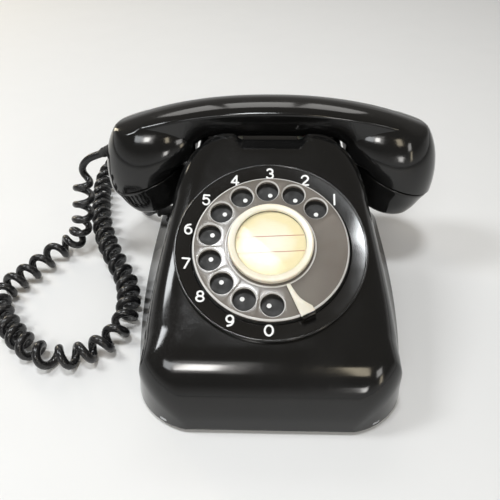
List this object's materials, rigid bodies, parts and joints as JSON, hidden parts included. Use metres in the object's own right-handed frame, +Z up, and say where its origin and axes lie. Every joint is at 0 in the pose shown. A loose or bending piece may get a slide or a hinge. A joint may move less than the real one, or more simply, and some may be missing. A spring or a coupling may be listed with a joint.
{
  "type": "rotary telephone",
  "caption": "Black rotary desk telephone with a clear finger wheel over a numbered ring, a lift-off handset in its cradle and a coiled handset cord.",
  "frame": {"origin": "centre of the footprint of the telephone without its loose cord, on the surface it stands on", "axes": "+X to the user's right along the handset, +Y towards the back, +Z up"},
  "size_m": [0.2972, 0.2828, 0.1146],
  "materials": {
    "case_black": "polished, finely scratched and dusty",
    "handset_black": "polished, finely scratched",
    "ring_black": "satin gloss",
    "clear_wheel": "clear smoky, lightly scratched",
    "clear_window": "clear",
    "ivory_stop": "satin gloss",
    "ivory_ring": "satin gloss",
    "card": "printed card, yellowed",
    "cord_black": "satin",
    "black_rubber": "matte",
    "steel": "satin",
    "plated": "polished",
    "zinc_plate": "zinc plated",
    "brass": "satin",
    "contact_alloy": "satin",
    "gong_metal": "lacquered",
    "coil_winding": "enamelled wire",
    "brown_phenolic": "satin",
    "iron_core": "varnished",
    "can": "satin"
  },
  "bodies": {
    "root": {"housing": "case_black", "number_ring": "ring_black", "finger_stop": "ivory_stop", "base_plate": "zinc_plate", "rubber_feet": "black_rubber", "case_screws": "steel", "dial_frame": "zinc_plate", "dial_bridge": "brass", "dial_posts": "brass", "dial_bracket": "zinc_plate", "return_spring": "steel", "spring_post": "brass", "impulse_contacts": "contact_alloy", "governor_cup": "brass", "governor_bearing": "brass", "hook_bracket": "zinc_plate", "hook_pivot_pin": "steel", "hook_contacts": "contact_alloy", "gongs": "gong_metal", "gong_posts": "steel", "gong_screws": "steel", "ringer_frame": "zinc_plate", "ringer_coils": "coil_winding", "clapper_pin": "steel", "terminal_board": "brown_phenolic", "terminal_screws": "brass", "induction_coil": "iron_core", "capacitor": "can", "cord_grommet": "black_rubber", "line_cord_gland": "black_rubber", "handset_cord_lead": "cord_black", "handset_cord_coil": "cord_black", "handset_cord_tail": "cord_black"},
    "dial_rotor": {"finger_wheel": "clear_wheel", "card_holder": "steel", "number_card": "card", "card_window": "clear_window", "card_ring": "ivory_ring", "dial_shaft": "steel", "main_gear": "brass", "impulse_cam": "brown_phenolic"},
    "pinion": {"pinion_shaft": "brass"},
    "governor": {"governor_shaft": "brass"},
    "handset": {"handset_shell": "handset_black", "receiver_cap": "handset_black", "transmitter_cap": "handset_black", "receiver_capsule": "can", "transmitter_capsule": "can", "capsule_contacts": "contact_alloy", "handset_cord_relief": "cord_black"},
    "plungers": {"hook_plungers": "plated"},
    "hook_lever_body": {"hook_lever": "zinc_plate"},
    "clapper_body": {"clapper": "brass"}
  },
  "joints": [
    {"name": "dial_turn", "type": "hinge", "parent": "root", "child": "dial_rotor", "pos_m": [0, -0.03, 0.067], "axis": [0, 0.4274, -0.9041], "range_deg": [0, 313], "stiffness_Nm_per_rad": 0.008, "springref_deg": -57.3},
    {"name": "pinion_spin", "type": "hinge", "parent": "root", "child": "pinion", "pos_m": [-0.03, -0.03, 0.067], "axis": [0, 0.4274, -0.9041], "range_deg": [-1260, 0]},
    {"name": "governor_spin", "type": "hinge", "parent": "root", "child": "governor", "pos_m": [-0.0194, -0.02102, 0.04801], "axis": [0, -0.9041, -0.4274], "range_deg": [0, 12600]},
    {"name": "handset_lift", "type": "slide", "parent": "root", "child": "handset", "axis": [0, 0, 1], "range_m": [0, 0.08]},
    {"name": "plunger_travel", "type": "slide", "parent": "root", "child": "plungers", "axis": [0, 0, 1], "range_m": [0, 0.0055]},
    {"name": "hook_lever_pivot", "type": "hinge", "parent": "root", "child": "hook_lever_body", "pos_m": [0, 0.034, 0.066], "axis": [1, 0, 0], "range_deg": [0, 13]},
    {"name": "clapper_swing", "type": "hinge", "parent": "root", "child": "clapper_body", "pos_m": [0, 0.03, 0.025], "axis": [0, 0, 1], "range_deg": [-2, 2]}
  ],
  "couplings": [
    {"joint": "pinion_spin", "follows": "dial_turn", "ratio": -4},
    {"joint": "governor_spin", "follows": "dial_turn", "ratio": 40},
    {"joint": "plunger_travel", "follows": "handset_lift", "ratio": 0.0625},
    {"joint": "hook_lever_pivot", "follows": "handset_lift", "rad_per_m": 2.62}
  ]
}
